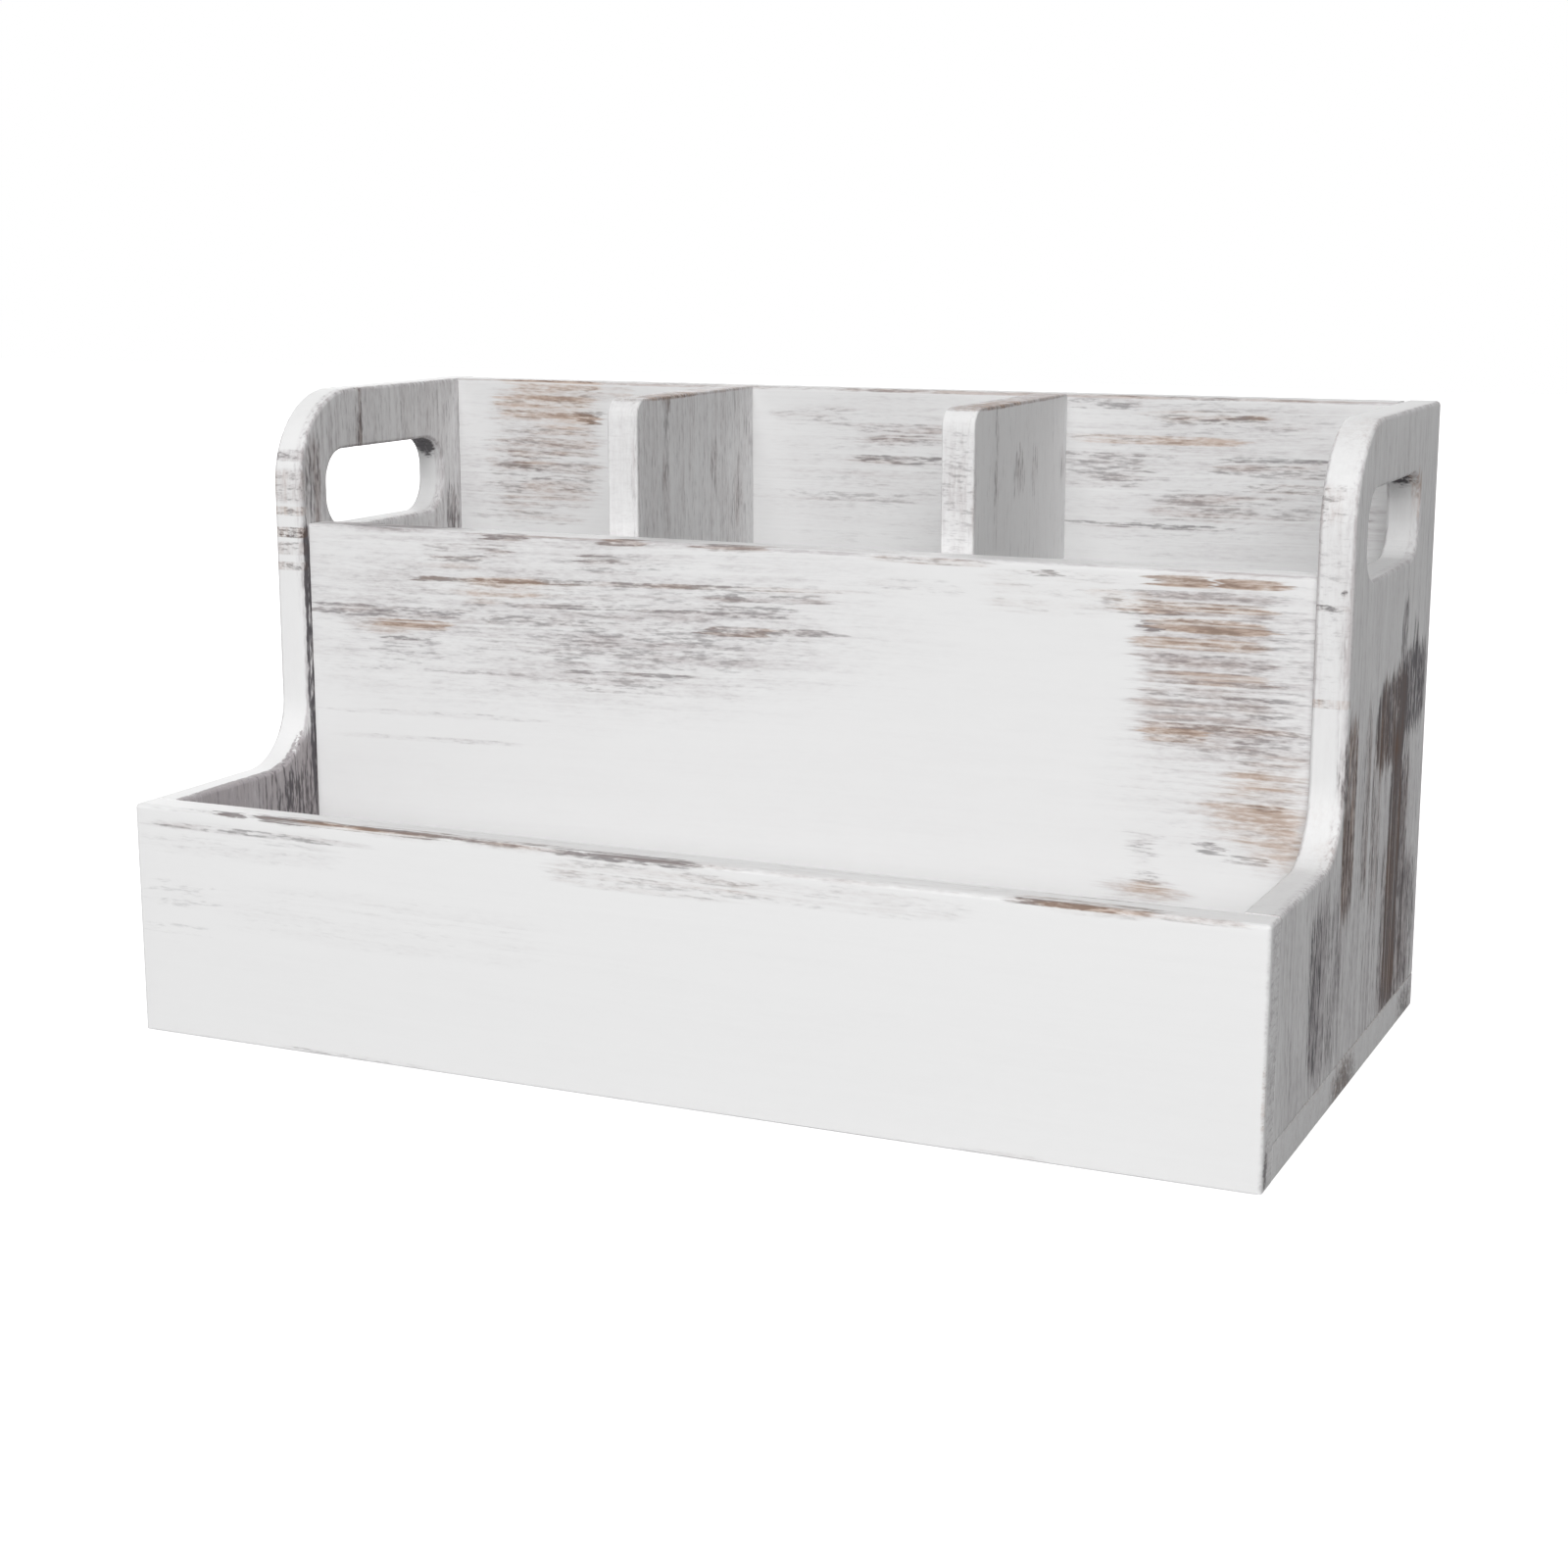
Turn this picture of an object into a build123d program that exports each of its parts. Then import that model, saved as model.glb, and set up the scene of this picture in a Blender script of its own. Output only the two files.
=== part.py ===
"""Wooden countertop utensil caddy: a front tray, three rear compartments and two hand holes.

Eight boards are butted together and pinned with brads whose heads are set below the surface.
The origin is at the middle of the underside. X runs across the caddy, the front faces -Y, and Z is up.
All sizes are in millimetres.
"""
import os

from build123d import *

# Overall size
overall_width = 305.0
overall_depth = 165.0
overall_height = 166.0

# Boards
base_thickness = 9.0
side_thickness = 9.0
front_thickness = 9.0
front_height = 62.0
back_thickness = 9.0
panel_thickness = 9.0
panel_height = 129.5
divider_thickness = 9.0

# Outline of the side boards: a low step beside the tray, a hollow sweep, an upright edge, a round shoulder
step_depth = 68.0
sweep_radius = 18.0
shoulder_radius = 26.0

# Hand hole in each side board: the wood left in front of it, behind it and above it, and its own height
hand_hole_front_margin = 13.5
hand_hole_back_margin = 21.5
hand_hole_top_margin = 17.0
hand_hole_height = 22.0
hand_hole_corner = 9.0
corner_share = 0.45

# Places of the inner boards
panel_setback = 3.0
back_setback = 3.0
divider_spacing = 96.0
divider_corner = 5.0

# Eased arrises, at most a third of a board's thickness
edge_ease = 1.2
ease_share = 1 / 3

# Brads: flat wire nails with a T head, a straight shank and a chisel point, their heads set below the face
brad_gauge = 1.0
brad_width = 1.2
brad_head_width = 2.0
brad_head_height = 0.8
brad_length = 25.0
brad_point = 2.0
brad_set = 0.6
brad_clearance = 0.05

# Brads along each joint: how far apart they are, and how many
front_brad_inset = 14.0
cross_brad_spacing = 100.0
cross_brad_count = 3
side_brad_spacing = 48.0
side_brad_count = 3
back_brad_spacing = 53.0
back_brad_count = 3
panel_brad_spacing = 70.0
panel_brad_count = 2
divider_count = 2

# Planes that the boards share
outer_x = overall_width / 2
inner_x = outer_x - side_thickness
side_x = outer_x - side_thickness / 2
front_y = -overall_depth / 2
front_inner_y = front_y + front_thickness
upright_y = front_y + step_depth
panel_front_y = upright_y + panel_setback
panel_back_y = panel_front_y + panel_thickness
back_y = overall_depth / 2
back_face_y = back_y - back_setback
back_inner_y = back_face_y - back_thickness

# Middles of the boards, where the brads run
panel_y = (panel_front_y + panel_back_y) / 2
back_board_y = (back_inner_y + back_face_y) / 2
side_y = (front_inner_y + back_y) / 2
divider_y = (panel_back_y + back_inner_y) / 2
panel_z = (base_thickness + panel_height) / 2
back_z = (base_thickness + overall_height) / 2

# Hand hole worked out from its margins, its corners rounded by at most this share of its short side
hand_hole_front_y = upright_y + hand_hole_front_margin
hand_hole_back_y = back_y - hand_hole_back_margin
hand_hole_length = hand_hole_back_y - hand_hole_front_y
hand_hole_y = (hand_hole_front_y + hand_hole_back_y) / 2
hand_hole_z = overall_height - hand_hole_top_margin - hand_hole_height / 2
hand_hole_round = min(hand_hole_corner, min(hand_hole_length, hand_hole_height) * corner_share)

tolerance = 0.01
left_and_right = (-1, 1)


def spaced(middle, spacing, count):
    """Even places along a line, about its middle."""
    first = middle - spacing * (count - 1) / 2
    return [first + spacing * step for step in range(count)]


def seats(outward, across, points):
    """Brad seats on a face: at each point a plane through the brad, whose Y looks out of the face."""
    flat = Vector(across).cross(Vector(outward))
    return [Plane(point, x_dir=across, z_dir=flat) for point in points]


def ease_edges(board, thickness, exposed):
    """Take the arris off each edge of the board whose middle the test calls exposed."""
    arrises = board.edges().filter_by(lambda edge: exposed(edge.center()))
    chamfer(arrises, length=min(edge_ease, thickness * ease_share))


def flat_nails(nail_seats, top, room):
    """Solids in the shape of a brad at each seat, from this height over the face and this much larger."""
    head = brad_head_width / 2 + room
    shank = brad_width / 2 + room
    shoulder = -brad_set - brad_head_height
    tip = -brad_set - brad_length
    with BuildPart() as nails:
        with BuildSketch(*nail_seats):
            with BuildLine():
                Polyline(
                    (0, top),
                    (head, top),
                    (head, shoulder),
                    (shank, shoulder),
                    (shank, tip + brad_point),
                    (0, tip),
                )
                mirror(about=Plane.YZ)
            make_face()
        extrude(amount=brad_gauge / 2 + room, both=True)
    return nails.part


def brads(brad_seats):
    """Brads with their heads set below the face."""
    return flat_nails(brad_seats, top=-brad_set, room=0)


def bores(brad_seats):
    """The bores that brads sit in, open at the face."""
    return flat_nails(brad_seats, top=0, room=brad_clearance)


# Seats of the brads, joint by joint
across = spaced(0, cross_brad_spacing, cross_brad_count)
along_side = spaced(side_y, side_brad_spacing, side_brad_count)
divider_middles = spaced(0, divider_spacing, divider_count)
back_heights = spaced(back_z, back_brad_spacing, back_brad_count)
panel_heights = spaced(panel_z, panel_brad_spacing, panel_brad_count)
front_heights = (base_thickness + front_brad_inset, front_height - front_brad_inset)

x_axis, y_axis, z_axis = (1, 0, 0), (0, 1, 0), (0, 0, 1)
frontward, backward, downward = (0, -1, 0), (0, 1, 0), (0, 0, -1)
front_seats = seats(frontward, x_axis, [(x, front_y, base_thickness / 2) for x in across])
side_seats = []
back_seats = seats(downward, x_axis, [(x, back_board_y, 0) for x in across])
panel_seats = seats(downward, x_axis, [(x, panel_y, 0) for x in across])
divider_seats = seats(downward, y_axis, [(x, divider_y, 0) for x in divider_middles])
for x in divider_middles:
    divider_seats += seats(frontward, z_axis, [(x, panel_front_y, z) for z in panel_heights])
    divider_seats += seats(backward, z_axis, [(x, back_face_y, z) for z in back_heights])
for hand in left_and_right:
    sideward = (hand, 0, 0)
    front_seats += seats(frontward, z_axis, [(hand * side_x, front_y, z) for z in front_heights])
    side_seats += seats(downward, y_axis, [(hand * side_x, y, 0) for y in along_side])
    back_seats += seats(sideward, z_axis, [(hand * outer_x, back_board_y, z) for z in back_heights])
    panel_seats += seats(sideward, z_axis, [(hand * outer_x, panel_y, z) for z in panel_heights])

front_bores = bores(front_seats)
side_bores = bores(side_seats)
back_bores = bores(back_seats)
panel_bores = bores(panel_seats)
divider_bores = bores(divider_seats)

os.makedirs("parts", exist_ok=True)

# Base board: the floor of the caddy, from behind the front board to the back
with BuildPart() as base_board:
    with BuildSketch(Plane.XY):
        with Locations((0, side_y)):
            Rectangle(overall_width, back_y - front_inner_y)
    extrude(amount=base_thickness)
    ease_edges(
        base_board,
        base_thickness,
        lambda middle: abs(middle.X) > outer_x - tolerance and middle.Y > front_inner_y + tolerance
        or middle.Y > back_y - tolerance,
    )
    add([front_bores, side_bores, back_bores, panel_bores, divider_bores], mode=Mode.SUBTRACT)
base_board.part.label = "base_board"
export_step(base_board.part, "parts/base_board.step")

# Side boards: stand on the base board, behind the front board
for side_name, hand in zip(("left_side_board", "right_side_board"), left_and_right):
    with BuildPart() as side_board:
        with BuildSketch(Plane.YZ.offset(hand * side_x)):
            with BuildLine():
                Polyline(
                    (front_inner_y, base_thickness),
                    (back_y, base_thickness),
                    (back_y, overall_height),
                    (upright_y, overall_height),
                    (upright_y, front_height),
                    (front_inner_y, front_height),
                    close=True,
                )
            make_face()
            upright_corners = vertices().group_by(Axis.X)[1].sort_by(Axis.Y)
            fillet(upright_corners.first, radius=sweep_radius)
            shoulder_corner = vertices().group_by(Axis.Y)[-1].sort_by(Axis.X).first
            fillet(shoulder_corner, radius=shoulder_radius)
            with Locations((hand_hole_y, hand_hole_z)):
                RectangleRounded(hand_hole_length, hand_hole_height, hand_hole_round, mode=Mode.SUBTRACT)
        extrude(amount=side_thickness / 2, both=True)
        ease_edges(
            side_board,
            side_thickness,
            lambda middle: abs(abs(middle.X) - side_x) > side_thickness / 2 - tolerance
            and middle.Z > base_thickness + tolerance
            and middle.Y > front_inner_y + tolerance,
        )
        add([front_bores, side_bores, back_bores, panel_bores], mode=Mode.SUBTRACT)
    side_board.part.label = side_name
    export_step(side_board.part, f"parts/{side_name}.step")

# Front board: covers the front ends of the base board and of the side boards
with BuildPart() as front_board:
    with BuildSketch(Plane.XZ.offset(-front_inner_y)):
        with Locations((0, front_height / 2)):
            Rectangle(overall_width, front_height)
    extrude(amount=front_thickness)
    ease_edges(
        front_board,
        front_thickness,
        lambda middle: middle.Y < front_inner_y - tolerance or middle.Z > front_height - tolerance,
    )
    add(front_bores, mode=Mode.SUBTRACT)
front_board.part.label = "front_board"
export_step(front_board.part, "parts/front_board.step")

# Back board: stands on the base board between the side boards, level with their tops, set in a little
with BuildPart() as back_board:
    with BuildSketch(Plane.XZ.offset(-back_face_y)):
        with Locations((0, back_z)):
            Rectangle(2 * inner_x, overall_height - base_thickness)
    extrude(amount=back_thickness)
    ease_edges(
        back_board,
        back_thickness,
        lambda middle: middle.Z > overall_height - tolerance and abs(middle.X) < tolerance,
    )
    add([back_bores, divider_bores], mode=Mode.SUBTRACT)
back_board.part.label = "back_board"
export_step(back_board.part, "parts/back_board.step")

# Middle panel: the wall between the front tray and the rear compartments
with BuildPart() as middle_panel:
    with BuildSketch(Plane.XZ.offset(-panel_back_y)):
        with Locations((0, panel_z)):
            Rectangle(2 * inner_x, panel_height - base_thickness)
    extrude(amount=panel_thickness)
    ease_edges(
        middle_panel,
        panel_thickness,
        lambda middle: middle.Z > panel_height - tolerance and abs(middle.X) < tolerance,
    )
    add([panel_bores, divider_bores], mode=Mode.SUBTRACT)
middle_panel.part.label = "middle_panel"
export_step(middle_panel.part, "parts/middle_panel.step")

# Dividers: part the rear into three compartments, their upper front corner rounded
for divider_name, divider_x in zip(("left_divider", "right_divider"), divider_middles):
    with BuildPart() as divider:
        with BuildSketch(Plane.YZ.offset(divider_x)):
            with Locations((divider_y, back_z)):
                Rectangle(back_inner_y - panel_back_y, overall_height - base_thickness)
            fillet(vertices().group_by(Axis.Y)[-1].sort_by(Axis.X).first, radius=divider_corner)
        extrude(amount=divider_thickness / 2, both=True)
        ease_edges(
            divider,
            divider_thickness,
            lambda middle: abs(middle.X - divider_x) > divider_thickness / 2 - tolerance
            and middle.Z > base_thickness + tolerance
            and middle.Y < back_inner_y - tolerance,
        )
        add(divider_bores, mode=Mode.SUBTRACT)
    divider.part.label = divider_name
    export_step(divider.part, f"parts/{divider_name}.step")

# Brads: each joint's brads are one group of separate nails
brad_groups = {
    "front_board_brads": front_seats,
    "side_board_brads": side_seats,
    "back_board_brads": back_seats,
    "middle_panel_brads": panel_seats,
    "divider_brads": divider_seats,
}
for group_name, group_seats in brad_groups.items():
    brad_group = brads(group_seats)
    brad_group.label = group_name
    export_step(brad_group, f"parts/{group_name}.step")
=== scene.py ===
"""Looks of the whitewashed utensil caddy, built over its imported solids.

The frame is the part's own: origin at the middle of the underside, front towards -Y, Z up.
Blender works in metres. Sizes that a maker reads off a rule are in millimetres and are turned by MM.
"""

import logging
import math
from collections.abc import Callable
from dataclasses import dataclass
from enum import Enum

import bmesh
import bpy
import numpy as np
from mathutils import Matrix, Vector


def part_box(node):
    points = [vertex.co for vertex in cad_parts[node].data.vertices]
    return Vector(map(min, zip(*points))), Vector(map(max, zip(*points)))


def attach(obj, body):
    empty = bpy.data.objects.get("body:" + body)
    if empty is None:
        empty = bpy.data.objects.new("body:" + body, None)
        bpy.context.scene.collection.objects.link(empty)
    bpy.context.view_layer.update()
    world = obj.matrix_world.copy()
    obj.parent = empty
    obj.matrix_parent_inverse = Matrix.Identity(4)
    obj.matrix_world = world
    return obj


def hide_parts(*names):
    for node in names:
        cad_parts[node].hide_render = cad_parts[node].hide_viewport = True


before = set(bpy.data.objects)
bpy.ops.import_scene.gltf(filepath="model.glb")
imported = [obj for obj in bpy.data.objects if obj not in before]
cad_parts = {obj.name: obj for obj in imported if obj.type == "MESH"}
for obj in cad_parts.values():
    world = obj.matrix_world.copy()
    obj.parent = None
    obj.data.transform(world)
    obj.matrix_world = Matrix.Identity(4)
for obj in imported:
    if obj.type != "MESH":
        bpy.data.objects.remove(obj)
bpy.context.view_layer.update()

MM = 0.001
BODY = "root"
BRAD_NODES = [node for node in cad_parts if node.endswith("_brads")]
BOARD_NODES = [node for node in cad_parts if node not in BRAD_NODES]

# Blender's names for the nodes that the finishes use most, and a setting of theirs.
MATH = "ShaderNodeMath"
VECTOR_MATH = "ShaderNodeVectorMath"
MAP_RANGE = "ShaderNodeMapRange"
MIX = "ShaderNodeMix"
SEPARATE = "ShaderNodeSeparateXYZ"
COMBINE = "ShaderNodeCombineXYZ"
SMOOTH = {"interpolation_type": "SMOOTHSTEP"}

Piece = bpy.types.Object
Material = bpy.types.Material
Tree = bpy.types.NodeTree
Node = bpy.types.Node
Feed = Node | bpy.types.NodeSocket | float
Pair = tuple[float, float]
Triple = tuple[float, float, float]
Levels = tuple[float, float, float, float]

log = logging.getLogger("caddy")


def linear(hex_colour: str) -> tuple[float, float, float, float]:
    """Turns a colour written as sRGB hex into Blender's linear values, by the sRGB curve.

    Args:
        hex_colour: Six hex digits.

    Returns:
        Linear red, green, blue, and full opacity.
    """
    channels = [int(hex_colour[place : place + 2], 16) / 255 for place in (0, 2, 4)]
    curve = [c / 12.92 if c <= 0.04045 else ((c + 0.055) / 1.055) ** 2.4 for c in channels]
    return (*curve, 1.0)


def add_node(tree: Tree, kind: str, sockets: dict | tuple = (), **settings) -> Node:
    """Adds one node, with its settings, and fills its sockets.

    Args:
        tree: The node tree that the node joins.
        kind: Blender's name for the node.
        sockets: What the input sockets get, by name or in order: a value, a node or a node's output.
        settings: The node's own properties.

    Returns:
        The new node.
    """
    node = tree.nodes.new(kind)
    for name, value in settings.items():
        setattr(node, name, value)
    for key, value in sockets.items() if isinstance(sockets, dict) else enumerate(sockets):
        if isinstance(value, Node):
            value = next(output for output in value.outputs if output.enabled)
        if isinstance(value, bpy.types.NodeSocket):
            tree.links.new(value, node.inputs[key])
        else:
            node.inputs[key].default_value = value
    return node


class Grain(Enum):
    """How a board was cut: the axes that lie along its grain, across it and through its thickness."""

    CROSSWISE = (0, 2, 1)
    UPRIGHT = (2, 1, 0)
    FLOOR = (0, 1, 2)

    @property
    def along(self) -> Vector:
        """The direction of the grain."""
        return Vector([float(axis == self.value[0]) for axis in range(3)])

    @property
    def across(self) -> Vector:
        """The direction across the grain, on the board's face."""
        return Vector([float(axis == self.value[1]) for axis in range(3)])


@dataclass(frozen=True)
class Rub:
    """A place where the wash is rubbed away, or a painted shadow: an ellipsoid in the part's frame, in
    millimetres.

    Attributes:
        middle: Where it lies.
        reach: How far it goes each way.
        bare: How much wood shows through, from none, 0, to nearly all of it, 1.
        warmth: From grey wood, 0, to tan wood, 1.
        dark: How many dark fibres show, from none, 0, to nearly all, 1; in a painted shadow, how deep the
            shade is.
        soft: Whether it fades out slowly from its middle, or has an edge.
    """

    middle: Triple
    reach: Triple
    bare: float
    warmth: float
    dark: float
    soft: bool = False


@dataclass(frozen=True)
class Face:
    """A flat face of a board, on which rubbed places and painted shadows are set out by two coordinates.

    Attributes:
        axis: The axis that the face looks along.
        level: Where the face lies on that axis, in millimetres.
        depth: How far a rubbed place goes into the board, in millimetres.
    """

    axis: int
    level: float
    depth: float = 3.0

    def rubs(self, *places: tuple[float | bool, ...]) -> tuple[Rub, ...]:
        """Sets out rubbed places and painted shadows.

        Args:
            places: For each, its middle on the face's two axes and its half extents there, in millimetres,
                then how bare, how warm and how dark it is, and True if it fades out slowly.

        Returns:
            The rubbed places and painted shadows.
        """
        worn = []
        for across, up, half_across, half_up, *strength in places:
            middle = [across, up]
            reach = [half_across, half_up]
            middle.insert(self.axis, self.level)
            reach.insert(self.axis, self.depth)
            worn.append(Rub(tuple(middle), tuple(reach), *strength))
        return tuple(worn)


@dataclass(frozen=True)
class Streaks:
    """Noise drawn out along the grain, sized in millimetres."""

    length: float
    width: float
    detail: float = 2.0
    roughness: float = 0.6

    def noise(self, tree: Tree, run: Feed) -> Node:
        """Adds the noise.

        Args:
            tree: The material's node tree.
            run: The place along, across and through the grain, in millimetres.

        Returns:
            The noise, about 0.5 on average.
        """
        drawn = (1 / self.length, 1 / self.width, 1 / self.width)
        return add_node(
            tree,
            "ShaderNodeTexNoise",
            {
                "Vector": add_node(tree, VECTOR_MATH, (run, drawn), operation="MULTIPLY"),
                "Scale": 1.0,
                "Detail": self.detail,
                "Roughness": self.roughness,
            },
        )


@dataclass(frozen=True)
class Whitewash:
    """Pine brushed with thin white paint and rubbed back along the grain.

    The eye sees a matt, slightly uneven white. In rubbed places the paint turns to a grey or tan veil with
    fine white ridges left in it, and bars of wood and short dark fibres come through.

    A step or a fade gives the two levels between which something sets in. Levels give two levels of a noise
    and the two amounts that they turn into.
    """

    paint: str = "EFEFEF"
    thin_grey: str = "C4C0C2"
    thin_tan: str = "CFBDB2"
    grey_wood: str = "A9A3A6"
    tan_wood: str = "A0836E"
    dark_fibre_and_shade: str = "545155"
    dark_brown: str = "5A4437"
    worn_edge: str = "A3938A"
    bars: Streaks = Streaks(60.0, 2.0)
    dashes: Streaks = Streaks(10.0, 1.05)
    flecks: Streaks = Streaks(3.0, 0.65)
    lines: Streaks = Streaks(120.0, 1.3, 3.0)
    ends: Streaks = Streaks(20.0, 0.9)
    patches: Streaks = Streaks(20.0, 6.0)
    drift: Streaks = Streaks(80.0, 26.0)
    stretches: Streaks = Streaks(45.0, 45.0)
    bare_blend: Triple = (0.7, 0.9, 0.6)
    bare_step: Pair = (1.02, 1.56)
    bare_share: float = 0.55
    dark_blend: Triple = (0.0, 1.2, 0.8)
    dark_step: Pair = (1.12, 1.47)
    dark_share: float = 0.56
    denser: float = 0.26
    veil_share: float = 0.76
    veil_most: float = 0.85
    bar_levels: Levels = (0.3, 0.65, 0.4, 1.0)
    patch_levels: Levels = (0.3, 0.7, 0.5, 1.4)
    fleck_levels: Levels = (0.3, 0.7, 0.5, 1.5)
    clean_veil: float = 0.03
    # On arrises the paint is thinned for wear, and also as painted shade that keeps lit arrises from
    # looking brighter than the faces.
    arris_veil_and_shade: float = 3.2
    chip_blend: Pair = (0.4, 0.6)
    chip_levels: Levels = (0.11, 0.16, 0.0, 0.6)
    ridge_step: Pair = (0.55, 0.65)
    ridge_share: float = 0.75
    rub_fade: Pair = (1.25, 0.3)
    soft_fade: Pair = (1.1, -0.5)
    waver_length: float = 180.0
    waver_step: Pair = (0.2, 0.8)
    waver_detail: float = 1.0
    waver: float = 1.5
    rise: float = 0.0
    rise_span: Pair = (-140.0, 20.0)
    seed_strides: Triple = (311.0, 97.0, 53.0)
    ragged_step: Pair = (0.25, 0.75)
    ragged: float = 4.5
    nick_shorter: float = 2.0
    bump_strength: float = 0.15
    bump_depth: float = 0.08 * MM
    specular: float = 0.3
    paint_roughness: float = 0.58
    wood_roughness: float = 0.82
    shown_side: Triple = (0.41, -0.89, 0.2)
    unseen_step: Pair = (0.08, -0.05)
    unseen_wear: Triple = (0.9, 0.35, 0.7)
    drift_step: Pair = (0.45, 0.7)

    def follow_grain(self, tree: Tree, spot: Feed, grain: Grain, seed: int) -> tuple[Node, Node]:
        """Finds where each point lies on the board, whose grain may rise along it and wavers a little.

        Args:
            tree: The material's node tree.
            spot: The place in the part's frame, in metres.
            grain: How the board was cut.
            seed: Number of the board, which moves the pattern so that no two boards match.

        Returns:
            The place in millimetres, as if the grain didn't rise, and the place along, across and through
            the grain, on which streaks aren't ruled lines.
        """
        level = add_node(tree, VECTOR_MATH, (spot, (1 / MM,) * 3), operation="MULTIPLY")
        length = add_node(tree, SEPARATE, (level,)).outputs[grain.value[0]]
        rise = add_node(tree, MAP_RANGE, (length, *self.rise_span, self.rise, 0.0))
        place = add_node(tree, VECTOR_MATH, (rise, grain.across, level), operation="MULTIPLY_ADD")
        xyz = add_node(tree, SEPARATE, (place,))
        along, across, through = (xyz.outputs[axis] for axis in grain.value)
        slow = add_node(
            tree,
            "ShaderNodeTexNoise",
            {"Vector": place, "Scale": 1 / self.waver_length, "Detail": self.waver_detail},
        )
        bend = add_node(tree, MAP_RANGE, (slow, *self.waver_step, -self.waver, self.waver))
        wavering = add_node(tree, MATH, (across, bend), operation="ADD")
        straight = add_node(tree, COMBINE, (along, wavering, through))
        offset = [seed * stride for stride in self.seed_strides]
        return place, add_node(tree, VECTOR_MATH, (straight, offset), operation="ADD")

    def amounts(self, tree: Tree, place: Feed, worn: tuple[Rub, ...]) -> Node:
        """Adds up the rubbed places and the painted shadows.

        Args:
            tree: The material's node tree.
            place: The place in the part's frame, in millimetres.
            worn: The rubbed places and painted shadows.

        Returns:
            A node with three outputs: how bare, how warm and how dark each point is.
        """
        total = (0.0, 0.0, 0.0)
        for rub in worn:
            scale = [1 / reach for reach in rub.reach]
            shifted = [-middle * share for middle, share in zip(rub.middle, scale)]
            moved = {"Vector": place, "Location": shifted, "Scale": scale}
            local = add_node(tree, "ShaderNodeMapping", moved)
            square = add_node(tree, VECTOR_MATH, (local, local), operation="MULTIPLY")
            other, fade = ((1.0, 1.0, 1.0), self.soft_fade) if rub.soft else (square, self.rub_fade)
            away = add_node(tree, VECTOR_MATH, (square, other), operation="DOT_PRODUCT")
            inside = add_node(tree, MAP_RANGE, (away, *fade), **SMOOTH)
            amount = (rub.bare, rub.warmth, rub.dark)
            total = add_node(tree, VECTOR_MATH, (inside, amount, total), operation="MULTIPLY_ADD")
        return add_node(tree, SEPARATE, (total,))

    def rub_back(
        self, tree: Tree, normal: Feed, grain: Grain, place: Feed, run: Feed, worn: tuple[Rub, ...]
    ) -> list[Node]:
        """Finds how far each point is rubbed back, with ragged ends along the grain.

        Faces that the reference doesn't show are rubbed here and there too.

        Args:
            tree: The material's node tree.
            normal: The way that the surface faces.
            grain: How the board was cut.
            place: The place in the part's frame, in millimetres.
            run: The place along, across and through the grain, in millimetres.
            worn: The rubbed places and painted shadows.

        Returns:
            How bare, how warm and how dark each point is.
        """
        end = self.ends.noise(tree, run)
        shift = add_node(tree, MAP_RANGE, (end, *self.ragged_step, -self.ragged, self.ragged))
        ragged = add_node(tree, VECTOR_MATH, (shift, grain.along, place), operation="MULTIPLY_ADD")
        here = self.amounts(tree, ragged, worn)
        facing = add_node(tree, VECTOR_MATH, (normal, self.shown_side), operation="DOT_PRODUCT")
        unseen = add_node(tree, MAP_RANGE, (facing, *self.unseen_step))
        spread = self.drift.noise(tree, run)
        drift = add_node(tree, MAP_RANGE, (spread, *self.drift_step), **SMOOTH)
        chance = add_node(tree, MATH, (drift, unseen), operation="MULTIPLY")
        return [
            add_node(tree, MATH, (chance, share, amount), operation="MULTIPLY_ADD")
            for share, amount in zip(self.unseen_wear, here.outputs)
        ]

    def marks(self, tree: Tree, run: Feed, bare: Feed, dark: Feed) -> list[Node]:
        """Breaks amounts of bare wood and dark fibres up into bars, dashes and flecks.

        Args:
            tree: The material's node tree.
            run: The place along, across and through the marks, in millimetres.
            bare: How bare each point is.
            dark: How dark each point is.

        Returns:
            The bare wood and the dark fibres, each from 0 to 1.
        """
        noises = tuple(streak.noise(tree, run) for streak in (self.bars, self.dashes, self.flecks))
        joined = add_node(tree, COMBINE, noises)
        kinds = (
            (bare, self.bare_blend, self.bare_step),
            (dark, self.dark_blend, self.dark_step),
        )
        shown = []
        for amount, blend, step in kinds:
            blended = add_node(tree, VECTOR_MATH, (joined, blend), operation="DOT_PRODUCT")
            level = add_node(tree, MATH, (amount, self.denser, blended), operation="MULTIPLY_ADD")
            broken = add_node(tree, MAP_RANGE, (level, *step), **SMOOTH)
            most = add_node(tree, MATH, (amount, 1.0), operation="MINIMUM")
            shown.append(add_node(tree, MATH, (broken, most), operation="MULTIPLY"))
        return shown

    def arris(self, tree: Tree, lean: Feed) -> Node:
        """Finds the rounded arrises.

        Args:
            tree: The material's node tree.
            lean: The part of the normal that goes through the board's thickness.

        Returns:
            A node that gives 0 on the faces and 0.25 halfway round an arris.
        """
        flat = add_node(tree, MATH, (lean, lean), operation="MULTIPLY")
        upright = add_node(tree, MATH, (1.0, flat), operation="SUBTRACT")
        return add_node(tree, MATH, (flat, upright), operation="MULTIPLY")

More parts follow.
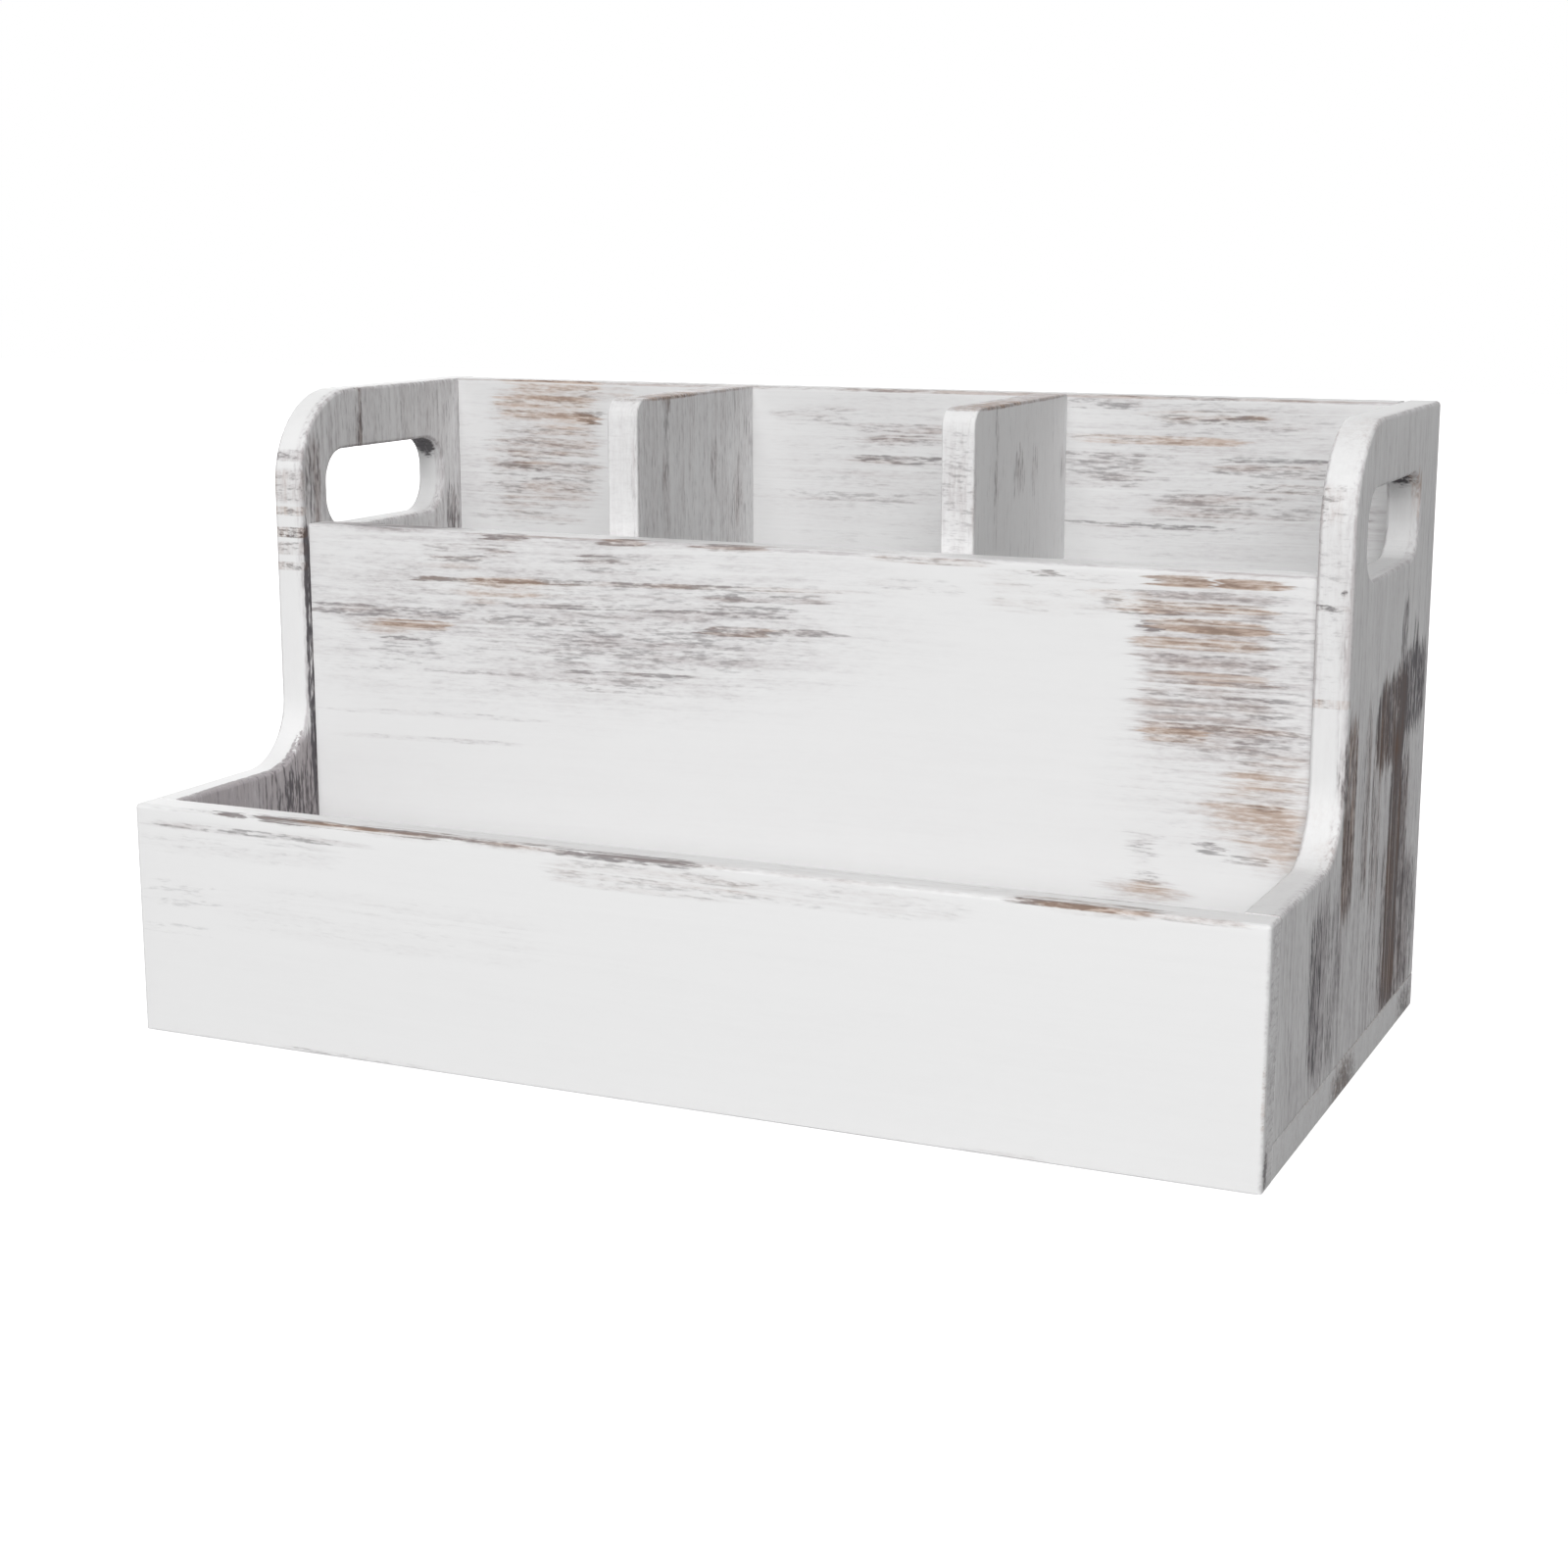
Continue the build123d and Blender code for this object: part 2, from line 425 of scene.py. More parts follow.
    def chipped(self, tree: Tree, run: Feed, arris: Feed, arris_wear: float) -> Node:
        """Finds where the arrises lose their paint, as hands and cloths rub them.

        Args:
            tree: The material's node tree.
            run: The place along, across and through the grain, in millimetres.
            arris: Where the arrises are.
            arris_wear: How much of the arrises shows wood, where 1 is about a third.

        Returns:
            The chipped paint, from 0 to the most that chip_levels gives.
        """
        chips = 0.0
        for streak, share in zip((self.dashes, self.stretches), self.chip_blend):
            noise = streak.noise(tree, run)
            chips = add_node(tree, MATH, (noise, share * arris_wear, chips), operation="MULTIPLY_ADD")
        worn = add_node(tree, MATH, (arris, chips), operation="MULTIPLY")
        return add_node(tree, MAP_RANGE, (worn, *self.chip_levels), **SMOOTH)

    def veil(self, tree: Tree, run: Feed, arris: Feed, bare: Feed) -> tuple[Node, Node]:
        """Thins the paint in rubbed places and on arrises, unevenly along the grain; on arrises this is
        partly painted shade.

        Args:
            tree: The material's node tree.
            run: The place along, across and through the grain, in millimetres.
            arris: Where the arrises are.
            bare: How bare each point is.

        Returns:
            The thinned paint, from 0 to veil_most, and the streaks in it, about 1 on average.
        """
        thin = add_node(tree, MATH, (bare, self.veil_share, self.clean_veil), operation="MULTIPLY_ADD")
        thin = add_node(tree, MATH, (arris, self.arris_veil_and_shade, thin), operation="MULTIPLY_ADD")
        uneven = [
            add_node(tree, MAP_RANGE, (streak.noise(tree, run), *levels), interpolation_type=kind)
            for streak, levels, kind in (
                (self.bars, self.bar_levels, "SMOOTHSTEP"),
                (self.patches, self.patch_levels, "SMOOTHSTEP"),
                (self.flecks, self.fleck_levels, "LINEAR"),
            )
        ]
        streaky = add_node(tree, MATH, (uneven[0], uneven[1]), operation="MULTIPLY")
        for share in (streaky, uneven[2]):
            thin = add_node(tree, MATH, (thin, share), operation="MULTIPLY")
        return add_node(tree, MATH, (thin, self.veil_most), operation="MINIMUM"), streaky

    def material(
        self,
        name: str,
        grain: Grain,
        seed: int,
        worn: tuple[Rub, ...],
        nicked: tuple[Rub, ...],
        arris_wear: float,
    ) -> Material:
        """Makes the finish of one board.

        Args:
            name: Name of the board.
            grain: How the board was cut.
            seed: Number of the board, which moves the pattern so that no two boards match.
            worn: Where its wash is rubbed away along the grain, and where shade is painted on it.
            nicked: Where its edges are nicked across the grain, and where shade is painted on an edge or in
                a hand hole.
            arris_wear: How much of its arrises shows wood, where 1 is about a third.

        Returns:
            The material.
        """
        finish = bpy.data.materials.new(f"whitewashed_pine_{name}")
        finish.use_nodes = True
        tree = finish.node_tree
        tree.nodes.clear()
        source = add_node(tree, "ShaderNodeTexCoord")
        normal = source.outputs["Normal"]
        place, run = self.follow_grain(tree, source.outputs["Object"], grain, seed)
        bare_here, warm_here, dark_here = self.rub_back(tree, normal, grain, place, run, worn)
        bare, dark = self.marks(tree, run, bare_here, dark_here)
        if nicked:
            xyz = add_node(tree, SEPARATE, (place,))
            along, across, through = (xyz.outputs[axis] for axis in grain.value)
            short = add_node(tree, MATH, (through, self.nick_shorter), operation="MULTIPLY")
            sideways = add_node(tree, COMBINE, (short, along, across))
            nick_bare, nick_warm, nick_dark = self.amounts(tree, place, nicked).outputs
            bare_marks, dark_marks = self.marks(tree, sideways, nick_bare, nick_dark)
            bare = add_node(tree, MATH, (bare, bare_marks), operation="MAXIMUM")
            dark = add_node(tree, MATH, (dark, dark_marks), operation="MAXIMUM")
            warm_here = add_node(tree, MATH, (warm_here, nick_warm), operation="ADD")
            bare_here = add_node(tree, MATH, (bare_here, nick_bare), operation="ADD")

        # Thin ridges of paint stay white along the grain and part the bars.
        lines = self.lines.noise(tree, run)
        kept = (1.0, 1.0 - self.ridge_share)
        ridges = add_node(tree, MAP_RANGE, (lines, *self.ridge_step, *kept), **SMOOTH)
        arris = self.arris(tree, add_node(tree, SEPARATE, (normal,)).outputs[grain.value[2]])
        veil, streaky = self.veil(tree, run, arris, bare_here)
        warmed = add_node(tree, MATH, (warm_here, streaky), operation="MULTIPLY", use_clamp=True)
        layers = (
            (veil, 1.0, self.thin_grey, self.thin_tan),
            (bare, self.bare_share, self.grey_wood, self.tan_wood),
            (dark, self.dark_share, self.dark_fibre_and_shade, self.dark_brown),
        )
        colour = linear(self.paint)
        for amount, share, cold, warm in layers:
            tones = {"Factor": warmed, "A": linear(cold), "B": linear(warm)}
            layer = add_node(tree, MIX, tones, data_type="RGBA")
            left = add_node(tree, MATH, (ridges, share), operation="MULTIPLY")
            shown = add_node(tree, MATH, (amount, left), operation="MULTIPLY")
            colour = add_node(tree, MIX, {"Factor": shown, "A": colour, "B": layer}, data_type="RGBA")
        edge = self.chipped(tree, run, arris, arris_wear)
        rubbed = {"Factor": edge, "A": colour, "B": linear(self.worn_edge)}
        relief = {"Height": lines, "Strength": self.bump_strength, "Distance": self.bump_depth}
        matt = {"Value": bare, "To Min": self.paint_roughness, "To Max": self.wood_roughness}
        shader = add_node(
            tree,
            "ShaderNodeBsdfPrincipled",
            {
                "Base Color": add_node(tree, MIX, rubbed, data_type="RGBA"),
                "Roughness": add_node(tree, MAP_RANGE, matt),
                "Specular IOR Level": self.specular,
                "Normal": add_node(tree, "ShaderNodeBump", relief),
            },
        )
        add_node(tree, "ShaderNodeOutputMaterial", {"Surface": shader})
        return finish


@dataclass(frozen=True)
class BradWire:
    """Bright drawn steel wire: a grey metal with fine lines along the draw."""

    steel: str = "B4B2AE"
    dull: str = "85827D"
    line_width: float = 0.2 * MM
    line_detail: float = 3.0
    bump_strength: float = 0.2
    bump_depth: float = 0.02 * MM
    roughness: float = 0.38

    def material(self) -> Material:
        """Makes the finish of the brads.

        Returns:
            The material.
        """
        finish = bpy.data.materials.new("bright_drawn_steel_wire")
        finish.use_nodes = True
        tree = finish.node_tree
        tree.nodes.clear()
        source = add_node(tree, "ShaderNodeTexCoord")
        lines = add_node(
            tree,
            "ShaderNodeTexNoise",
            {
                "Vector": source.outputs["Object"],
                "Scale": 1 / self.line_width,
                "Detail": self.line_detail,
            },
        )
        tones = {"Factor": lines, "A": linear(self.steel), "B": linear(self.dull)}
        relief = {"Height": lines, "Strength": self.bump_strength, "Distance": self.bump_depth}
        shader = add_node(
            tree,
            "ShaderNodeBsdfPrincipled",
            {
                "Base Color": add_node(tree, MIX, tones, data_type="RGBA"),
                "Metallic": 1.0,
                "Roughness": self.roughness,
                "Normal": add_node(tree, "ShaderNodeBump", relief),
            },
        )
        add_node(tree, "ShaderNodeOutputMaterial", {"Surface": shader})
        return finish


def edit(piece: Piece) -> bmesh.types.BMesh:
    """Opens a piece in edit mode with nothing selected.

    Args:
        piece: The piece, active.

    Returns:
        Its mesh in edit mode.
    """
    if bpy.context.mode != "EDIT_MESH":
        bpy.ops.object.mode_set(mode="EDIT")
    bpy.ops.mesh.select_all(action="DESELECT")
    return bmesh.from_edit_mesh(piece.data)


def close() -> None:
    """Leaves edit mode."""
    bpy.ops.object.mode_set(mode="OBJECT")


def pick_edges(piece: Piece, wanted: Callable[[Vector], bool]) -> None:
    """Selects, in edit mode, the edges whose middle passes a test.

    Args:
        piece: The piece in edit mode.
        wanted: Test of an edge's middle.
    """
    form = edit(piece)
    bpy.ops.mesh.select_mode(type="EDGE")
    for edge in form.edges:
        edge.select_set(wanted((edge.verts[0].co + edge.verts[1].co) / 2))
    bmesh.update_edit_mesh(piece.data)


def apply_modifier(piece: Piece, kind: str, **settings) -> None:
    """Puts one modifier on a piece and applies it.

    Args:
        piece: The piece, active and in object mode.
        kind: Blender's name for the modifier.
        settings: The modifier's own properties.
    """
    modifier = piece.modifiers.new(kind.lower(), kind)
    for name, value in settings.items():
        setattr(modifier, name, value)
    bpy.ops.object.modifier_apply(modifier=modifier.name)


def solid_block(name: str, low: Vector, high: Vector) -> Piece:
    """Adds a block between two corners, with its place in its mesh.

    Args:
        name: Name of the block.
        low: Lowest corner.
        high: Highest corner.

    Returns:
        The block, active and alone selected.
    """
    bpy.ops.object.select_all(action="DESELECT")
    bpy.ops.mesh.primitive_cube_add(size=1.0, location=(low + high) / 2, scale=high - low)
    bpy.ops.object.transform_apply(location=True, rotation=True, scale=True)
    block = bpy.context.object
    block.name = name
    return block


@dataclass
class Board:
    """A flat board: a block with rounded arrises, cut into strips along its grain to give wear relief."""

    node: str
    grain: Grain
    finish: Whitewash
    seed: int
    worn: tuple[Rub, ...] = ()
    nicked: tuple[Rub, ...] = ()
    arris_wear: float = 0.95
    arris: float = 1.1 * MM
    joint_share: float = 0.25
    arris_segments: int = 3
    strip_width: float = 1.0 * MM
    strip_length: float = 6.0 * MM
    sharp_angle: float = math.radians(35)
    brushed_depth: float = 0.16 * MM
    brushed_width: float = 1.8 * MM
    brushed_stretch: float = 14.0
    dent_depth: float = 0.12 * MM
    dent_size: float = 9.0 * MM
    joint_slack: float = 0.3 * MM
    weight_levels: int = 12
    cut_slack: float = 1e-6
    rub_edge: float = 1.3

    def blank(self) -> Piece:
        """Adds the board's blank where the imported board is."""
        low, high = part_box(self.node)
        return solid_block(f"washed_{self.node}", low, high)

    def shape(self, board: Piece) -> None:
        """Cuts the board's outline; a plain board keeps its square one."""

    def in_joint(self, point: Vector) -> bool:
        """Tells whether a point of this board lies against another board or on the table.

        Args:
            point: The point, in the part's frame.

        Returns:
            True where it does.
        """
        others = (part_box(node) for node in BOARD_NODES if node != self.node)
        slack = self.joint_slack
        return point.z < slack or any(
            all(low[axis] - slack <= point[axis] <= high[axis] + slack for axis in range(3))
            for low, high in others
        )

    def ease(self, board: Piece) -> None:
        """Rounds the arrises, and only just breaks those that lie in a joint.

        Args:
            board: The board, active and in object mode.
        """
        form = edit(board)
        weight = form.edges.layers.float.new("bevel_weight_edge")
        for edge in form.edges:
            if edge.calc_face_angle(0.0) > self.sharp_angle:
                ends = [vertex.co for vertex in edge.verts]
                hidden = all(self.in_joint(point) for point in (*ends, (ends[0] + ends[1]) / 2))
                edge[weight] = self.joint_share if hidden else 1.0
        bmesh.update_edit_mesh(board.data)
        close()
        apply_modifier(
            board,
            "BEVEL",
            limit_method="WEIGHT",
            width=self.arris,
            segments=self.arris_segments,
            use_clamp_overlap=False,
        )

    def rule(self, board: Piece) -> None:
        """Cuts the faces into strips: narrow across the grain, long along it.

        Args:
            board: The board, active and in object mode.
        """
        low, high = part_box(self.node)
        along, across, _ = self.grain.value
        edit(board)
        for axis, spacing in ((across, self.strip_width), (along, self.strip_length)):
            count = max(1, round((high[axis] - low[axis]) / spacing))
            normal = [float(direction == axis) for direction in range(3)]
            for cut in range(1, count):
                point = low.copy()
                point[axis] += (high[axis] - low[axis]) * cut / count
                bpy.ops.mesh.select_all(action="SELECT")
                bpy.ops.mesh.bisect(plane_co=point, plane_no=normal, threshold=self.cut_slack)
        close()

    def worn_share(self, points: np.ndarray) -> np.ndarray:
        """How far each point lies in the board's rubbed places.

        Args:
            points: Places in metres, one row each.

        Returns:
            A share from 0 to 1 for each point.
        """
        share = np.zeros(len(points))
        along, across, _ = self.grain.value
        level = points / MM
        level[:, across] += np.interp(level[:, along], self.finish.rise_span, (self.finish.rise, 0.0))
        for rub in self.worn:
            away = (level - np.array(rub.middle)) / np.array(rub.reach)
            share += rub.bare * np.clip(self.rub_edge - (away**4).sum(axis=1), 0, 1)
        return np.clip(share, 0, 1)

    def wear(self, board: Piece) -> None:
        """Brushes the grain out where the wash is rubbed, and dents the arrises a little.

        Args:
            board: The board, active and in object mode.
        """
        count = len(board.data.vertices)
        points = np.empty(count * 3)
        normals = np.empty(count * 3)
        board.data.vertices.foreach_get("co", points)
        board.data.vertex_normals.foreach_get("vector", normals)
        lean = normals.reshape(-1, 3)[:, self.grain.value[2]] ** 2

        # The arris share is 1 halfway round an arris, where lean is a half.
        groups = {"rubbed": self.worn_share(points.reshape(-1, 3)), "arris": 4 * lean * (1 - lean)}
        for name, shares in groups.items():
            group = board.vertex_groups.new(name=name)
            levels = np.round(shares * self.weight_levels).astype(int)
            for level in range(1, self.weight_levels + 1):
                group.add(np.flatnonzero(levels == level).tolist(), level / self.weight_levels, "REPLACE")
        bpy.ops.object.empty_add(location=(0, 0, 0))
        stretch = bpy.context.object
        stretch.scale = Vector((1, 1, 1)) + self.grain.along * (self.brushed_stretch - 1)
        bpy.context.view_layer.update()
        bpy.ops.object.select_all(action="DESELECT")
        board.select_set(True)
        bpy.context.view_layer.objects.active = board
        depths = (
            ("rubbed", self.brushed_width, self.brushed_depth),
            ("arris", self.dent_size, self.dent_depth),
        )
        for name, size, depth in depths:
            texture = bpy.data.textures.new(name, "CLOUDS")
            texture.noise_scale = size
            apply_modifier(
                board,
                "DISPLACE",
                texture=texture,
                texture_coords="OBJECT",
                texture_coords_object=stretch,
                vertex_group=name,
                strength=depth,
                mid_level=1.0,
            )
            bpy.data.textures.remove(texture)
        bpy.data.objects.remove(stretch)
        board.vertex_groups.clear()

    def dress(self, board: Piece) -> None:
        """Gives the board its finish and smooth shading.

        Args:
            board: The board, active and in object mode.
        """
        bpy.ops.object.shade_smooth_by_angle(angle=self.sharp_angle)
        apply_modifier(board, "WEIGHTED_NORMAL", keep_sharp=True)
        board.data.materials.clear()
        wash = self.finish.material(
            self.node, self.grain, self.seed, self.worn, self.nicked, self.arris_wear
        )
        board.data.materials.append(wash)

    def build(self) -> Piece:
        """Makes the board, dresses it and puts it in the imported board's place.

        Returns:
            The finished board.
        """
        board = self.blank()
        self.shape(board)
        self.ease(board)
        self.rule(board)
        self.wear(board)
        self.dress(board)
        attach(board, BODY)
        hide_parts(self.node)
        return board


@dataclass
class Divider(Board):
    """A divider: an upright board with its upper front corner rounded."""

    arris_wear: float = 0.4
    arris: float = 0.5 * MM
    corner: float = 5.0 * MM
    corner_segments: int = 6

    def shape(self, board: Piece) -> None:
        """Rounds the upper front corner.

        Args:
            board: The board, active and in object mode.
        """
        low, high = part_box(self.node)
        near = self.joint_slack
        pick_edges(board, lambda middle: middle.z > high.z - near and middle.y < low.y + near)
        bpy.ops.mesh.bevel(offset=self.corner, segments=self.corner_segments)
        close()


@dataclass
class SideBoard(Board):
    """A side board: a low step beside the tray, a hollow sweep, a round shoulder and a hand hole."""

    arris_wear: float = 0.8
    step_height: float = 62.0 * MM
    upright_y: float = -14.5 * MM
    sweep: float = 18.0 * MM
    shoulder: float = 26.0 * MM
    curve_segments: int = 14
    hole_low: Pair = (-1.0 * MM, 127.0 * MM)
    hole_high: Pair = (61.0 * MM, 149.0 * MM)
    hole_corner: float = 9.0 * MM
    hole_segments: int = 8

    def blank(self) -> Piece:
        """Adds the low part of the board, which the upright part grows from."""
        low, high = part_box(self.node)
        return solid_block(f"washed_{self.node}", low, Vector((high.x, high.y, self.step_height)))

    def shape(self, board: Piece) -> None:
        """Draws the upright part up, rounds the sweep and the shoulder, and cuts the hand hole.

        Args:
            board: The board, active and in object mode.
        """
        low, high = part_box(self.node)
        near = self.joint_slack
        edit(board)
        bpy.ops.mesh.select_all(action="SELECT")
        bpy.ops.mesh.bisect(plane_co=(0, self.upright_y, 0), plane_no=(0, 1, 0))
        form = edit(board)
        bpy.ops.mesh.select_mode(type="FACE")
        for face in form.faces:
            middle = face.calc_center_median()
            face.select_set(middle.z > self.step_height - near and middle.y > self.upright_y)
        bmesh.update_edit_mesh(board.data)
        rise = high.z - self.step_height
        bpy.ops.mesh.extrude_region_move(TRANSFORM_OT_translate={"value": (0, 0, rise)})
        for height, radius in ((self.step_height, self.sweep), (high.z, self.shoulder)):
            pick_edges(
                board,
                lambda middle: abs(middle.y - self.upright_y) < near and abs(middle.z - height) < near,
            )
            bpy.ops.mesh.bevel(offset=radius, segments=self.curve_segments)
        close()
        cutter = self.hole_cutter(low, high)
        bpy.ops.object.select_all(action="DESELECT")
        board.select_set(True)
        bpy.context.view_layer.objects.active = board
        apply_modifier(board, "BOOLEAN", operation="DIFFERENCE", solver="EXACT", object=cutter)
        bpy.data.objects.remove(cutter)

    def hole_cutter(self, low: Vector, high: Vector) -> Piece:
        """Makes the block with rounded corners that cuts the hand hole.

        Args:
            low: Lowest corner of the board.
            high: Highest corner of the board.

        Returns:
            The cutter.
        """
        clear = high.x - low.x
        cutter = solid_block(
            "hand_hole_cutter",
            Vector((low.x - clear, *self.hole_low)),
            Vector((high.x + clear, *self.hole_high)),
        )
        sides, levels = zip(self.hole_low, self.hole_high)
        corners = [(y, z) for y in sides for z in levels]
        near = self.joint_slack
        pick_edges(
            cutter,
            lambda middle: any(abs(middle.y - y) < near and abs(middle.z - z) < near for y, z in corners),
        )
        bpy.ops.mesh.bevel(offset=self.hole_corner, segments=self.hole_segments)
        close()
        return cutter


@dataclass
class Brads:
    """The brads in the joints, which stay as they were packed."""

    finish: BradWire

    def dress(self) -> None:
        """Gives every group of brads its steel."""
        steel = self.finish.material()
        for node in BRAD_NODES:
            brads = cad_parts[node]
            brads.data.materials.clear()
            brads.data.materials.append(steel)
            log.info("%s dressed", node)


@dataclass
class Studio:
    """A plain pale floor, a large soft lamp in front, weaker lamps behind and above, and the camera."""

    floor_half: float = 3.0
    floor_gap: float = 0.2 * MM
    floor_bounce: str = "949494"
    floor_shade: float = 0.6
    floor_white: float = 0.905
    ambient: float = 0.18
    lamp_towards: Triple = (0.193, -0.835, 0.515)
    lamp_distance: float = 3.0
    lamp_size: float = 2.3
    lamp_power: float = 82.5
    fill_towards: Triple = (-0.55, 0.72, 0.42)
    fill_power: float = 34.0
    top_towards: Triple = (0.0, 0.15, 0.99)
    top_power: float = 2.5
    camera_place: Triple = (285.9 * MM, -632.0 * MM, 209.2 * MM)
    camera_heading: float = math.radians(24.45)
    camera_dip: float = math.radians(11.77)
    camera_lens: float = 60.6
    camera_sensor: float = 36.0
    camera_near: float = 10.0 * MM
    aim: Triple = (0.0, 0.0, 70.0 * MM)

    def seen_directly(self, tree: Tree) -> Node:
        """Tells what the camera sees, straight on or in a reflection, from what only gets light.

        Args:
            tree: The node tree of a material or a world.

        Returns:
            A node that gives 1 for what the camera sees.
        """
        light = add_node(tree, "ShaderNodeLightPath")
        seen = light.outputs["Is Camera Ray"]
        for other in ("Is Glossy Ray", "Is Transmission Ray"):
            seen = add_node(tree, MATH, (seen, light.outputs[other]), operation="ADD", use_clamp=True)
        return seen

    def lay_floor(self) -> None:
        """Lays the floor, which looks white and keeps a soft shadow."""
        bpy.ops.object.select_all(action="DESELECT")
        bpy.ops.mesh.primitive_plane_add(size=2 * self.floor_half, location=(0, 0, -self.floor_gap))
        floor = bpy.context.object
        floor.name = "floor"
        paper = bpy.data.materials.new("white_backdrop_paper")
        paper.use_nodes = True
        tree = paper.node_tree
        tree.nodes.clear()
        bounce = add_node(tree, "ShaderNodeBsdfDiffuse", {"Color": linear(self.floor_bounce)})
        shade = add_node(tree, "ShaderNodeBsdfDiffuse", {"Color": (self.floor_shade,) * 3 + (1.0,)})
        white = add_node(tree, "ShaderNodeEmission", {"Strength": self.floor_white})
        shown = add_node(tree, "ShaderNodeAddShader", (shade, white))
        mixed = add_node(tree, "ShaderNodeMixShader", (self.seen_directly(tree), bounce, shown))
        add_node(tree, "ShaderNodeOutputMaterial", {"Surface": mixed})
        floor.data.materials.append(paper)

    def light(self) -> None:
        """Hangs the three lamps and sets the soft light all round."""
        lamps = (
            ("softbox", self.lamp_towards, self.lamp_power),
            ("back_fill", self.fill_towards, self.fill_power),
            ("overhead", self.top_towards, self.top_power),
        )
        for name, direction, power in lamps:
            towards = Vector(direction).normalized()
            place = Vector(self.aim) + towards * self.lamp_distance
            bpy.ops.object.light_add(type="AREA", location=place)
            lamp = bpy.context.object
            lamp.name = name
            lamp.rotation_euler = towards.to_track_quat("Z", "Y").to_euler()
            lamp.data.shape = "SQUARE"
            lamp.data.size = self.lamp_size
            lamp.data.energy = power
        world = bpy.data.worlds.new("studio")
        bpy.context.scene.world = world
        world.use_nodes = True
        tree = world.node_tree
        tree.nodes.clear()
        dim = {"Value": self.seen_directly(tree), "To Min": self.ambient, "To Max": 1.0}
        strength = add_node(tree, MAP_RANGE, dim)
        sky = add_node(tree, "ShaderNodeBackground", {"Color": (1.0,) * 4, "Strength": strength})
        add_node(tree, "ShaderNodeOutputWorld", {"Surface": sky})

    def set_camera(self) -> None:
        """Sets the camera at the reference's view."""
        bpy.ops.object.camera_add(
            location=self.camera_place,
            rotation=(math.pi / 2 - self.camera_dip, 0.0, self.camera_heading),
        )
        camera = bpy.context.object
        camera.data.lens = self.camera_lens
        camera.data.sensor_width = self.camera_sensor
        camera.data.clip_start = self.camera_near
        bpy.context.scene.camera = camera

    def build(self) -> None:
        """Sets up the floor, the light, the camera and the plain view."""
        self.lay_floor()
        self.light()
        self.set_camera()
        bpy.context.scene.view_settings.view_transform = "Standard"


